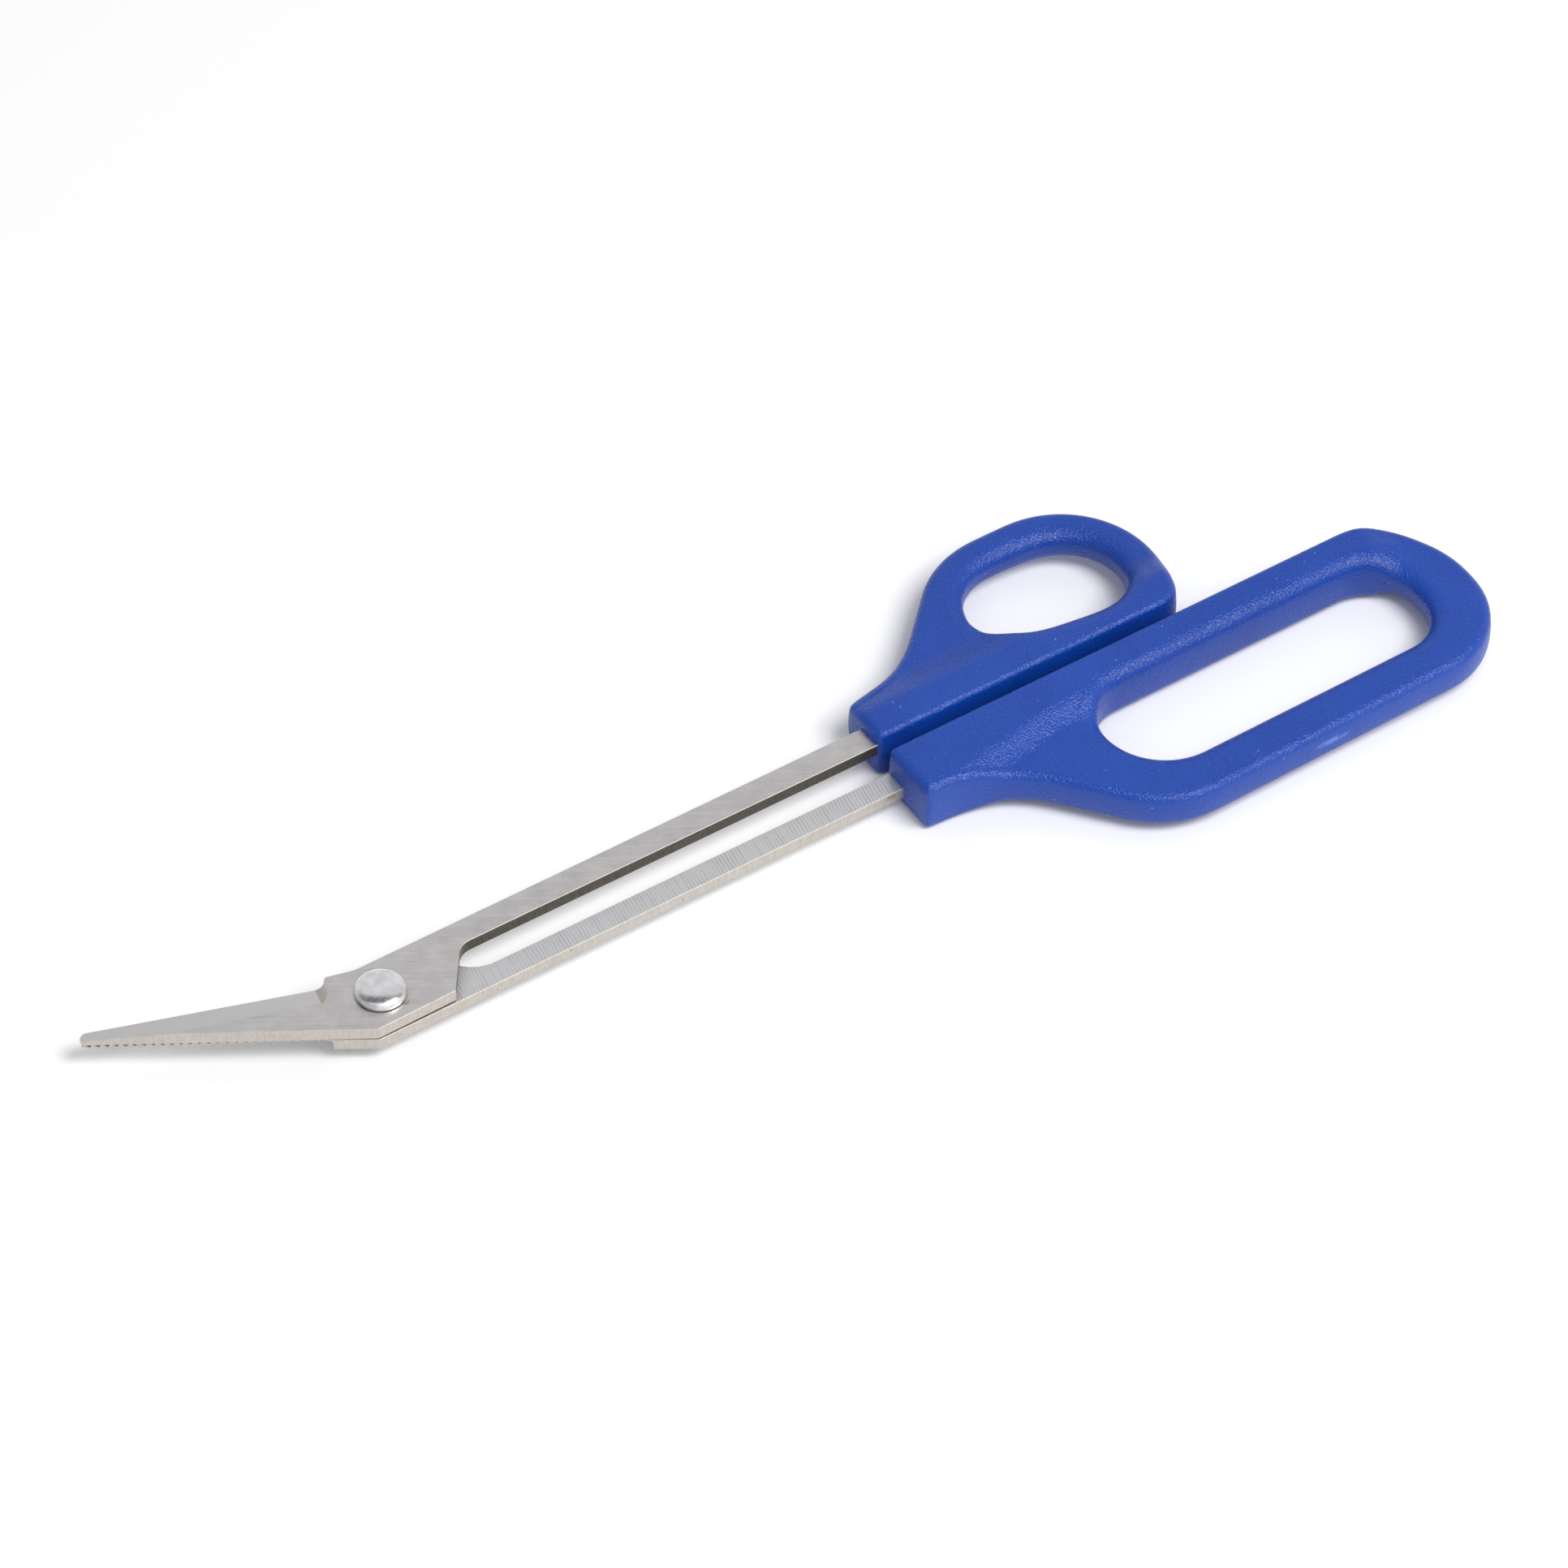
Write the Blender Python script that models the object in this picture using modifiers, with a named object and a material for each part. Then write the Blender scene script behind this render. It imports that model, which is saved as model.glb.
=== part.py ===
"""Long-reach toenail scissors: two stainless blades on one rivet, with two moulded handles.

The drawing plane is flat on a table. Its origin is the rivet axis, +X runs along the shanks to the
handles, +Y runs towards the thumb ring and +Z is up. Every length is in millimetres and MM turns it
into Blender's metres. At the end an empty moves the whole assembly so that the middle of its box
stands on the world origin.
"""
import math

import bmesh
import bpy
from mathutils import Matrix, Vector

MM = 0.001
ASSEMBLY = "long_reach_toenail_scissors"
GAP = 0.3                       # clearance between neighbouring pieces
PAST = 5.0                      # how far a cutter runs past the piece it cuts

# Heights above the table
HANDLE_THICK = 8.2              # the handles along the gap between them
LOOP_THICK = 5.4                # the outer part of the finger loop
RING_THICK = 5.0                # the outer part of the thumb ring
MID_Z = HANDLE_THICK / 2
PLATE = 1.9                     # thickness of each blade
LOWER_Z = MID_Z - GAP / 2 - PLATE
UPPER_Z = MID_Z + GAP / 2

# Shanks, pivot plates and tangs
UPPER_SHANK = (1.45, 5.25)      # inner and outer edge of the upper blade's shank
LOWER_SHANK = (-2.0, -5.4)      # inner and outer edge of the lower blade's shank
PLATE_HALF = 5.2                # half width of the pivot plates
PLATE_END = 8.1                 # where a plate's long edge turns to its slanted end
SLANT_END = 13.7                # where the slanted end meets the shank's inner edge
TANG_END = 112.0                # end of the tangs inside the handles
UPPER_FILLET = 1.8
LOWER_FILLET = 6.0

# Blades: both bend towards the thumb ring
ELBOW = (-3.4, -PLATE_HALF)     # where the upper blade's back leaves the plate
BUMP = (-4.8, 6.15)             # the plate's corner beside the cutting edge
EDGE_START = (-5.3, 5.65)
EDGE_TIP = (-36.3, 16.5)        # cutting-edge corner of the tip
BACK_TIP = (-37.8, 15.2)        # back corner of the tip
RIDGE_START = (-7.5, 2.5)       # the bevel's ridge on the top face, beside the plate
RIDGE_END = (-24.65, 7.85)      # where the ridge runs out at the back
EDGE_LEFT = 0.25                # thickness left under a bevel at its edge
TOOTH_START = (-9.2, -2.2)
TOOTH_TIP = (-37.8, 14.6)
TEETH = 27
TOOTH_DEPTH = 0.45
TOOTH_RIDGE_START = (-7.1, 1.7)  # the toothed edge's bevel, on the underside
TOOTH_RIDGE_END = (-24.0, 12.2)
HIDDEN_BACK = 0.7               # how far the lower blade's back hides under the upper edge

# Rivet
RIVET_SHAFT = 2.0               # radii
RIVET_HEAD = 3.55
RIVET_TAIL = 3.1
HEAD_WALL = 0.5
HEAD_DOME = 1.0
TAIL_THICK = 0.8

# Handles
FRONT = 79.4                    # front faces of both handles
THUMB_WALL = 0.75               # gap wall of the thumb handle
FINGER_WALL = -1.15             # gap wall of the finger handle
RIB_WIDTH = 4.5                 # full-thickness rib along the gap
SLOPE_WIDTH = 6.0               # from the rib down to the thin part
SLOPE_STEPS = 8                 # facets across that slope
LOOP_REACH = 90.0               # the longer handle's length
EDGE_ROUND = 0.9
LOOP_INSET = 0.05               # keeps the thin part's walls just inside the thick part's

# Outlines as corners (x, y, radius), counter-clockwise for a rim and clockwise for a hole
THUMB_RIM = [(FRONT, THUMB_WALL, 1.5), (129.8, THUMB_WALL, 3.8), (133.4, 27.1, 14.5),
             (105.0, 27.0, 16.0), (90.5, 11.9, 20.0), (FRONT, 9.1, 1.6)]
THUMB_HOLE = [(103.5, 6.9, 8.5), (103.0, 21.8, 6.3), (126.8, 20.9, 9.0), (126.3, 3.9, 6.5)]
FINGER_RIM = [(FRONT, FINGER_WALL, 1.5), (FRONT, -11.3, 1.5), (91.3, -11.7, 19.0),
              (107.4, -30.65, 15.0), (166.8, -29.3, 12.8), (166.3, -11.6, 18.0),
              (160.6, -0.85, 13.0)]
FINGER_HOLE = [(106.6, -7.15, 6.0), (158.5, -7.0, 7.8), (158.5, -23.0, 6.5), (106.6, -23.5, 9.0)]

STEEL = (0.62, 0.61, 0.59)
POLISHED = (0.75, 0.75, 0.76)
BLUE = (0.033, 0.075, 0.40)


def clear_scene():
    for item in list(bpy.data.objects):
        bpy.data.objects.remove(item)


def new_collection(name):
    collection = bpy.data.collections.new(name)
    bpy.context.scene.collection.children.link(collection)
    return collection


def material(name, colour, roughness, metallic):
    made = bpy.data.materials.new(name)
    made.use_nodes = True
    shader = made.node_tree.nodes["Principled BSDF"]
    shader.inputs["Base Color"].default_value = (*colour, 1.0)
    shader.inputs["Roughness"].default_value = roughness
    shader.inputs["Metallic"].default_value = metallic
    return made


def rounded(corners, step=math.radians(15)):
    """Points of a closed outline whose corners (x, y, radius) become arcs of about one step."""
    points = []
    for index, (x, y, radius) in enumerate(corners):
        here = Vector((x, y))
        before = (Vector(corners[index - 1][:2]) - here).normalized()
        after = (Vector(corners[(index + 1) % len(corners)][:2]) - here).normalized()
        half = before.angle(after) / 2
        if radius == 0:
            points.append((x, y))
            continue
        centre = here + (before + after).normalized() * (radius / math.sin(half))
        start = here + before * (radius / math.tan(half)) - centre
        sweep = start.angle_signed(here + after * (radius / math.tan(half)) - centre)
        count = max(2, round(abs(sweep) / step))
        for part in range(count + 1):
            arm = start.copy()
            arm.rotate(Matrix.Rotation(-sweep * part / count, 2))
            points.append(tuple(centre + arm))
    return points


def mesh_from_curve(curve_object, name, collection):
    """A mesh object with welded caps in place of a curve object."""
    bpy.context.view_layer.update()
    depsgraph = bpy.context.evaluated_depsgraph_get()
    mesh = bpy.data.meshes.new_from_object(curve_object.evaluated_get(depsgraph))
    made = bpy.data.objects.new(name, mesh)
    made.matrix_world = curve_object.matrix_world
    collection.objects.link(made)
    bpy.data.objects.remove(curve_object)
    shape = bmesh.new()
    shape.from_mesh(mesh)
    bmesh.ops.remove_doubles(shape, verts=shape.verts, dist=1e-6)
    bmesh.ops.recalc_face_normals(shape, faces=shape.faces)
    shape.to_mesh(mesh)
    shape.free()
    return made


def prism(name, outlines, low, high, collection, turn=None, rounding=0.0, inset=0.0):
    """A flat plate between two heights, from a rim outline and any hole outlines.

    Its edges are rounded by the curve's own bevel, which stays inset inside the outline.
    """
    curve = bpy.data.curves.new(name + "_outline", "CURVE")
    curve.dimensions = "2D"
    curve.fill_mode = "BOTH"
    curve.extrude = ((high - low) / 2 - rounding) * MM
    curve.bevel_depth = rounding * MM
    curve.bevel_resolution = 1
    curve.offset = -(rounding + inset) * MM
    for outline in outlines:
        spline = curve.splines.new("POLY")
        spline.points.add(len(outline) - 1)
        for point, (x, y) in zip(spline.points, outline):
            point.co = (x * MM, y * MM, 0.0, 1.0)
        spline.use_cyclic_u = True
    holder = bpy.data.objects.new(name + "_outline", curve)
    holder.matrix_world = (turn or Matrix()) @ Matrix.Translation((0, 0, (low + high) / 2 * MM))
    collection.objects.link(holder)
    return mesh_from_curve(holder, name, collection)


def as_cutter(item):
    item.hide_render = True
    item.display_type = "WIRE"
    return item


def cut(target, cutter, operation="DIFFERENCE", solver="EXACT"):
    modifier = target.modifiers.new(cutter.name, "BOOLEAN")
    modifier.operation = operation
    modifier.solver = solver
    modifier.object = as_cutter(cutter)


def turned(name, profile, collection, steps=48):
    """A turned piece on the pivot axis, from (radius, height) pairs that run from top to bottom."""
    mesh = bpy.data.meshes.new(name)
    edges = [(index, index + 1) for index in range(len(profile) - 1)]
    mesh.from_pydata([(radius * MM, 0.0, height * MM) for radius, height in profile], edges, [])
    item = bpy.data.objects.new(name, mesh)
    collection.objects.link(item)
    screw = item.modifiers.new("turn", "SCREW")
    screw.steps = screw.render_steps = steps
    screw.use_merge_vertices = True
    screw.merge_threshold = 0.00001
    return item


def along(start, end, fraction, offset=0.0):
    """The point at a fraction of the way from start to end, moved sideways to its left."""
    run = Vector(end) - Vector(start)
    side = Vector((-run.y, run.x)).normalized()
    return tuple(Vector(start) + run * fraction + side * offset)


def upper_outline():
    return rounded([
        (TANG_END, UPPER_SHANK[0], 0), (TANG_END, UPPER_SHANK[1], 0),
        (-1.0, UPPER_SHANK[1], 6.0), (*BUMP, 0), (*EDGE_START, 0), (*EDGE_TIP, 0.8),
        (*BACK_TIP, 0.8), (*ELBOW, 0), (PLATE_END, -PLATE_HALF, 0),
        (SLANT_END, UPPER_SHANK[0], UPPER_FILLET)])


def tooth_edge():
    """Scalloped edge from the plate to the tip: sharp points with a round hollow between."""
    points = []
    for tooth in range(TEETH):
        points.append(along(TOOTH_START, TOOTH_TIP, tooth / TEETH))
        points.append(along(TOOTH_START, TOOTH_TIP, (tooth + 0.3) / TEETH, -TOOTH_DEPTH * 0.85))
        points.append(along(TOOTH_START, TOOTH_TIP, (tooth + 0.7) / TEETH, -TOOTH_DEPTH * 0.85))
    return points + [TOOTH_TIP]


def lower_outline():
    back_start = (BUMP[0], PLATE_HALF)
    back_tip = (EDGE_TIP[0] + 0.4, EDGE_TIP[1] - HIDDEN_BACK)
    inner, outer = LOWER_SHANK
    plate = [(TANG_END, outer, 0), (TANG_END, inner, 0), (SLANT_END, inner, LOWER_FILLET),
             (PLATE_END, PLATE_HALF, 0), (*back_start, 0), (*back_tip, 0.6)]
    teeth = [(*point, 0) for point in reversed(tooth_edge())]
    return rounded(plate + teeth + [(ELBOW[0], outer, 0)])


def grinding_cutter(name, ridge, edge, flat, deep, collection):
    """The solid that a bevel takes away: everything outside a slanted plane.

    The plane runs from the ridge line, on the flat face, down to the far end of the edge line.
    Both lines are carried on past the tip, and the solid reaches well clear of the blade.
    """
    ridge_far = along(*ridge, 2.0)
    run = (Vector(ridge[1]) - Vector(ridge[0])).normalized()
    side = Vector((run.y, -run.x)) if deep < flat else Vector((-run.y, run.x))
    width = (Vector(edge[1]) - Vector(ridge[0])).dot(side)
    fall = (deep - flat) / width
    reach = 2 * width
    base = [Vector(edge[0]), Vector(ridge[0]), Vector(ridge_far), Vector(ridge_far) + side * reach]
    base.append(Vector(edge[0]) + side * (reach - (base[0] - base[1]).dot(side)))
    slanted = [(*spot, flat + fall * (spot - base[1]).dot(side)) for spot in base]
    level = [(*spot, flat + (flat - deep)) for spot in base]
    shape = bmesh.new()
    verts = [shape.verts.new(Vector(point) * MM) for point in slanted + level]
    hull = bmesh.ops.convex_hull(shape, input=verts)
    bmesh.ops.delete(shape, geom=list(set(hull["geom_interior"] + hull["geom_unused"])))
    bmesh.ops.recalc_face_normals(shape, faces=shape.faces)
    mesh = bpy.data.meshes.new(name)
    shape.to_mesh(mesh)
    shape.free()
    item = bpy.data.objects.new(name, mesh)
    collection.objects.link(item)
    return item


def rivet_hole(name, collection):
    bpy.ops.mesh.primitive_cylinder_add(
        vertices=48, radius=(RIVET_SHAFT + GAP) * MM, depth=20 * MM, location=(0, 0, MID_Z * MM))
    hole = bpy.context.object
    hole.name = name
    for owner in list(hole.users_collection):
        owner.objects.unlink(hole)
    collection.objects.link(hole)
    return hole


def section_cutter(name, wall, side, thin, collection):
    """The prism along X that gives a handle its thick rib, its slope and its thin outer part.

    Its half thickness is HANDLE_THICK / 2 over the rib, then falls along a smooth step to half of
    thin. side is +1 for the handle on +Y of its gap wall and -1 for the other.
    """
    top = [(-PAST, HANDLE_THICK / 2)]
    for part in range(SLOPE_STEPS + 1):
        share = part / SLOPE_STEPS
        fall = share * share * (3 - 2 * share)
        half = HANDLE_THICK / 2 + (thin - HANDLE_THICK) / 2 * fall
        top.append((RIB_WIDTH + SLOPE_WIDTH * share, half))
    outline = [(wall + side * away, MID_Z + half) for away, half in top]
    outline += [(wall + side * away, MID_Z - half) for away, half in reversed(top)]
    lay = Matrix(((0, 0, 1, 0), (1, 0, 0, 0), (0, 1, 0, 0), (0, 0, 0, 1)))
    return prism(name, [outline], FRONT - PAST, FRONT + LOOP_REACH + PAST, collection, lay)


def handle(name, rim, hole, wall, side, thin, tang, tang_low, parts, cutters):
    """A moulded handle: thick along the gap, thin round the loop, with a pocket for the tang."""
    outlines = [rounded(rim), rounded(hole)]
    item = prism(name, outlines, 0.0, HANDLE_THICK, parts, rounding=EDGE_ROUND)
    cut(item, section_cutter(name + "_section", wall, side, thin, cutters), "INTERSECT",
        "MANIFOLD")
    loop = prism(name + "_loop", outlines, MID_Z - thin / 2, MID_Z + thin / 2, cutters,
                 rounding=EDGE_ROUND, inset=LOOP_INSET)
    cut(item, loop, "UNION", "MANIFOLD")
    inner, outer = tang[0] - side * GAP, tang[1] + side * GAP
    pocket = [(FRONT - PAST, inner), (TANG_END + GAP, inner), (TANG_END + GAP, outer),
              (FRONT - PAST, outer)]
    cut(item, prism(name + "_pocket", [pocket], tang_low - GAP, tang_low + PLATE + GAP, cutters))
    return item


def shade(item, finish):
    item.data.materials.clear()
    item.data.materials.append(finish)
    item.data.shade_smooth()
    item.data.set_sharp_from_angle(angle=math.radians(35))


def new_empty(name, collection, parent=None):
    empty = bpy.data.objects.new(name, None)
    collection.objects.link(empty)
    empty.parent = parent
    return empty


def stand_on_origin(moving, fixed, parts, cutters):
    """Parent the pieces and move them so that their box's bottom centre is the world origin.

    The moving blade and its handle hang on an empty on the rivet axis.
    """
    bpy.context.view_layer.update()
    depsgraph = bpy.context.evaluated_depsgraph_get()
    corners = []
    for item in (*moving, *fixed):
        mesh = item.evaluated_get(depsgraph).to_mesh()
        corners += [item.matrix_world @ vertex.co for vertex in mesh.vertices]
        item.evaluated_get(depsgraph).to_mesh_clear()
    low = Vector([min(corner[axis] for corner in corners) for axis in range(3)])
    high = Vector([max(corner[axis] for corner in corners) for axis in range(3)])
    middle = (low + high) / 2

    frame = new_empty("assembly", parts)
    pivot = new_empty("rivet_axis", parts, frame)
    for item in moving:
        item.parent = pivot
    for item in (*fixed, *cutters.objects):
        item.parent = frame
    frame.location = (-middle.x, -middle.y, -low.z)


def main():
    clear_scene()
    parts = new_collection(ASSEMBLY)
    cutters = new_collection("cutters")
    bpy.context.view_layer.update()

    upper = prism("upper_blade", [upper_outline()], UPPER_Z, UPPER_Z + PLATE, parts)
    cut(upper, rivet_hole("upper_hole", cutters))
    cut(upper, grinding_cutter("upper_grind", (RIDGE_START, RIDGE_END), (EDGE_START, EDGE_TIP),
                               UPPER_Z + PLATE, UPPER_Z + EDGE_LEFT, cutters))

    lower = prism("lower_blade", [lower_outline()], LOWER_Z, LOWER_Z + PLATE, parts)
    cut(lower, rivet_hole("lower_hole", cutters))
    cut(lower, grinding_cutter("lower_grind", (TOOTH_RIDGE_START, TOOTH_RIDGE_END),
                               (TOOTH_START, TOOTH_TIP), LOWER_Z, LOWER_Z + PLATE - EDGE_LEFT,
                               cutters))

    head = UPPER_Z + PLATE + GAP
    tail = LOWER_Z - GAP
    dome = [(RIVET_HEAD * math.sin(math.radians(angle)),
             head + HEAD_WALL + HEAD_DOME * math.cos(math.radians(angle)))
            for angle in range(0, 91, 15)]
    rivet = turned("pivot_rivet", dome + [
        (RIVET_HEAD, head), (RIVET_SHAFT, head), (RIVET_SHAFT, tail), (RIVET_TAIL, tail),
        (RIVET_TAIL, tail - TAIL_THICK / 2), (RIVET_TAIL * 0.75, tail - TAIL_THICK),
        (0.0, tail - TAIL_THICK)], parts)

    thumb = handle("thumb_handle", THUMB_RIM, THUMB_HOLE, THUMB_WALL, 1, RING_THICK,
                   UPPER_SHANK, UPPER_Z, parts, cutters)
    finger = handle("finger_handle", FINGER_RIM, FINGER_HOLE, FINGER_WALL, -1, LOOP_THICK,
                    LOWER_SHANK, LOWER_Z, parts, cutters)

    stand_on_origin((upper, thumb), (lower, finger, rivet), parts, cutters)

    steel = material("brushed_stainless", STEEL, 0.35, 1.0)
    polished = material("polished_rivet_steel", POLISHED, 0.15, 1.0)
    plastic = material("blue_moulded_plastic", BLUE, 0.45, 0.0)
    for item, finish in ((upper, steel), (lower, steel), (rivet, polished), (thumb, plastic),
                         (finger, plastic)):
        shade(item, finish)


main()
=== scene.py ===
"""Long-reach toenail scissors: two ground steel blades on a domed rivet, with blue moulded handles.

Shapes are worked out in a drawing frame in millimetres: its origin is the rivet axis, +X runs along
the shanks to the handles, +Y towards the thumb ring and +Z up from the table. `Drawing` moves them
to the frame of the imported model, whose rivet gives the place of the axis.
"""
from __future__ import annotations

import logging
import math
from dataclasses import dataclass, field
from enum import Enum

import bpy
import numpy as np
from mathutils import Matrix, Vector

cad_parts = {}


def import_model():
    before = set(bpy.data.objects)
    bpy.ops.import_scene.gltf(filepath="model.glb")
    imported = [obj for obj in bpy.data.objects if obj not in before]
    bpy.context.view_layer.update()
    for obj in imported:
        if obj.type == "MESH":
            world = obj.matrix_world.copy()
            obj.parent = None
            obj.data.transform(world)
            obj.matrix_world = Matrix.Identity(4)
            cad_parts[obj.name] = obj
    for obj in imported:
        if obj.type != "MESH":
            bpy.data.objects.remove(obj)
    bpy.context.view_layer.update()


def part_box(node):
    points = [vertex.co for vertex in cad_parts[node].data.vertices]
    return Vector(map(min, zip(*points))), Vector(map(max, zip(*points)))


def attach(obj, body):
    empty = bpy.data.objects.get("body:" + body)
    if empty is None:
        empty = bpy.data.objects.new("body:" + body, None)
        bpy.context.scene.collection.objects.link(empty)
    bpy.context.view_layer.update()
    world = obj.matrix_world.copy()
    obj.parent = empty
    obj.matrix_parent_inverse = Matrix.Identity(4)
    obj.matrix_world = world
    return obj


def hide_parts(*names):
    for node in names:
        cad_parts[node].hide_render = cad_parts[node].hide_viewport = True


LOG = logging.getLogger("toenail_scissors")
MM = 0.001
TANG_END = 112.0            # x where both tangs end, inside the handles
WAVE_PERIOD = math.pi / 10  # length over which a wave texture of scale 1 repeats

Array = np.ndarray
Corner = tuple[float, float, float]
Point = tuple[float, float]


class Body(Enum):
    """The two rigid halves that the rivet joins."""

    LOWER = "lower_half"
    UPPER = "upper_half"


# ---------------------------------------------------------------------------------------------
# Plane curves
# ---------------------------------------------------------------------------------------------

def arc_outline(corners: list[Corner], step: float = math.radians(4)) -> Array:
    """Closed outline whose corners become arcs tangent to both neighbouring sides.

    A corner with radius r and half angle h between its sides has its arc centre at r / sin(h) along
    their bisector, and the arc starts at r / tan(h) along each side.

    Args:
        corners: (x, y, radius) of each corner, in order.
        step: the largest turn between two neighbouring points of an arc, in radians.

    Returns:
        Points of the outline, one row each.
    """
    table = np.array(corners, float)
    runs = []
    for index, (x, y, radius) in enumerate(table):
        here = table[index, :2]
        before = table[index - 1, :2] - here
        after = table[(index + 1) % len(table), :2] - here
        before, after = before / np.linalg.norm(before), after / np.linalg.norm(after)
        half = math.acos(float(np.clip(before @ after, -1.0, 1.0))) / 2
        if radius == 0:
            runs.append(here[None])
            continue
        bisector = (before + after) / np.linalg.norm(before + after)
        centre = here + bisector * radius / math.sin(half)
        first = here + before * radius / math.tan(half) - centre
        last = here + after * radius / math.tan(half) - centre
        sweep = math.atan2(first[0] * last[1] - first[1] * last[0], float(first @ last))
        angle = np.linspace(0.0, sweep, max(3, int(abs(sweep) / step) + 2))
        cos, sin = np.cos(angle), np.sin(angle)
        runs.append(centre + np.stack([first[0] * cos - first[1] * sin,
                                       first[0] * sin + first[1] * cos], 1))
    return np.concatenate(runs)


def resampled(points: Array, count: int, soften: float = 0.0) -> Array:
    """The closed outline again, at even distances along its length.

    Args:
        points: outline points.
        count: number of points to return.
        soften: width in millimetres of the Gaussian that eases each change of curvature. It works
            on the outline's Fourier series, each term times exp(-(frequency * width)^2 / 2).

    Returns:
        The new points, one row each.
    """
    loop = np.concatenate([points, points[:1]])
    steps = np.linalg.norm(np.diff(loop, axis=0), axis=1)
    length = np.concatenate([[0.0], np.cumsum(steps)])
    even = np.arange(count) / count * length[-1]
    made = np.stack([np.interp(even, length, loop[:, axis]) for axis in range(2)], 1)
    if soften > 0:
        rate = np.fft.fftfreq(count, length[-1] / count) * 2 * math.pi
        keep = np.exp(-0.5 * (rate * soften) ** 2)[:, None]
        made = np.fft.ifft(np.fft.fft(made, axis=0) * keep, axis=0).real
    return made


def outward_normals(loop: Array) -> Array:
    """Unit normals of a counter-clockwise loop: the central difference turned by -90 degrees.

    Args:
        loop: points of the closed loop, one row each.

    Returns:
        One normal for each point, pointing out of the loop.
    """
    tangent = np.roll(loop, -1, 0) - np.roll(loop, 1, 0)
    tangent /= np.linalg.norm(tangent, axis=1)[:, None]
    return np.stack([tangent[:, 1], -tangent[:, 0]], 1)


def smooth_step(value: Array) -> Array:
    """3 v^2 - 2 v^3 on v clipped to 0..1."""
    share = np.clip(value, 0.0, 1.0)
    return share * share * (3 - 2 * share)


# ---------------------------------------------------------------------------------------------
# Meshes
# ---------------------------------------------------------------------------------------------

@dataclass(frozen=True)
class Drawing:
    """Where the drawing frame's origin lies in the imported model's frame, in metres."""

    origin: Vector

    @classmethod
    def from_rivet(cls) -> Drawing:
        """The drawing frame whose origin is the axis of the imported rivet, on the table."""
        low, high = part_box("pivot_rivet")
        return cls(Vector(((low[0] + high[0]) / 2, (low[1] + high[1]) / 2, 0.0)))

    def to_frame(self, points: Array) -> Array:
        """Points in metres in the model's frame, from millimetres in the drawing frame."""
        return points.reshape(-1, 3) * MM + np.array(self.origin)

    def shader_point(self, x: float, y: float, z: float) -> tuple[float, float, float]:
        """One drawing point as object coordinates, in metres."""
        return tuple(Vector((x, y, z)) * MM + self.origin)


def ring_faces(rows: int, columns: int, closed_rows: bool) -> Array:
    """Quads of a grid whose columns run round a closed loop.

    Args:
        rows: number of sections along the piece.
        columns: number of points round each section.
        closed_rows: whether the last section joins the first.

    Returns:
        Four point numbers for each quad.
    """
    last = rows if closed_rows else rows - 1
    row, column = np.meshgrid(np.arange(last), np.arange(columns), indexing="ij")
    ahead, beside = (row + 1) % rows, (column + 1) % columns
    corners = [row * columns + column, ahead * columns + column,
               ahead * columns + beside, row * columns + beside]
    return np.stack(corners, -1).reshape(-1, 4)


@dataclass
class Surface:
    """One finished surface: points, quads, and the finish of each quad."""

    name: str
    points: Array
    quads: Array
    finish_index: Array
    caps: list[list[int]] = field(default_factory=list)

    def build(self, finishes: list[bpy.types.Material], crease: float) -> bpy.types.Object:
        """Makes the object, dressed, and smooth but for its sharp edges.

        Args:
            finishes: the materials that finish_index counts.
            crease: angle in degrees past which an edge is sharp.

        Returns:
            The new object.
        """
        mesh = bpy.data.meshes.new(self.name)
        faces = self.quads.tolist() + self.caps
        mesh.from_pydata(self.points.tolist(), [], faces)
        index = np.concatenate([self.finish_index, np.zeros(len(self.caps), int)]).astype(np.int32)
        for finish in finishes:
            mesh.materials.append(finish)
        mesh.polygons.foreach_set("material_index", index)
        if signed_volume(self.points, self.quads) < 0:
            mesh.flip_normals()
        mesh.validate()
        mesh.shade_smooth()
        mesh.set_sharp_from_angle(angle=math.radians(crease))
        item = bpy.data.objects.new(self.name, mesh)
        bpy.context.scene.collection.objects.link(item)
        return item


def signed_volume(points: Array, quads: Array) -> float:
    """Six times the volume that the quads enclose: the sum of p0 . (p1 x p2) of their halves."""
    a, b, c, d = (points[quads[:, index]] for index in range(4))
    return float(np.sum(a * np.cross(b, c)) + np.sum(a * np.cross(c, d)))


# ---------------------------------------------------------------------------------------------
# Finishes
# ---------------------------------------------------------------------------------------------

def linear(code: str) -> tuple[float, float, float, float]:
    """Linear colour of an sRGB value.

    Args:
        code: hex value such as "#2a4fd0".

    Returns:
        Red, green and blue from 0 to 1, and an alpha of 1.
    """
    value = np.array([int(code[index:index + 2], 16) / 255 for index in (1, 3, 5)])
    light = np.where(value <= 0.04045, value / 12.92, ((value + 0.055) / 1.055) ** 2.4)
    return (*light.tolist(), 1.0)


def add_node(tree: bpy.types.NodeTree, kind: str, links: dict | None = None,
             **settings: object) -> bpy.types.Node:
    """Adds one shader node.

    Args:
        tree: the node tree.
        kind: the node's type name without "ShaderNode".
        links: input name or index to a value, or to an output socket to link from.
        settings: properties of the node.

    Returns:
        The node.
    """
    made = tree.nodes.new("ShaderNode" + kind)
    for name, value in settings.items():
        setattr(made, name, value)
    for name, value in (links or {}).items():
        socket = made.inputs[name]
        if isinstance(value, bpy.types.NodeSocket):
            tree.links.new(value, socket)
        else:
            socket.default_value = value
    return made


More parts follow.
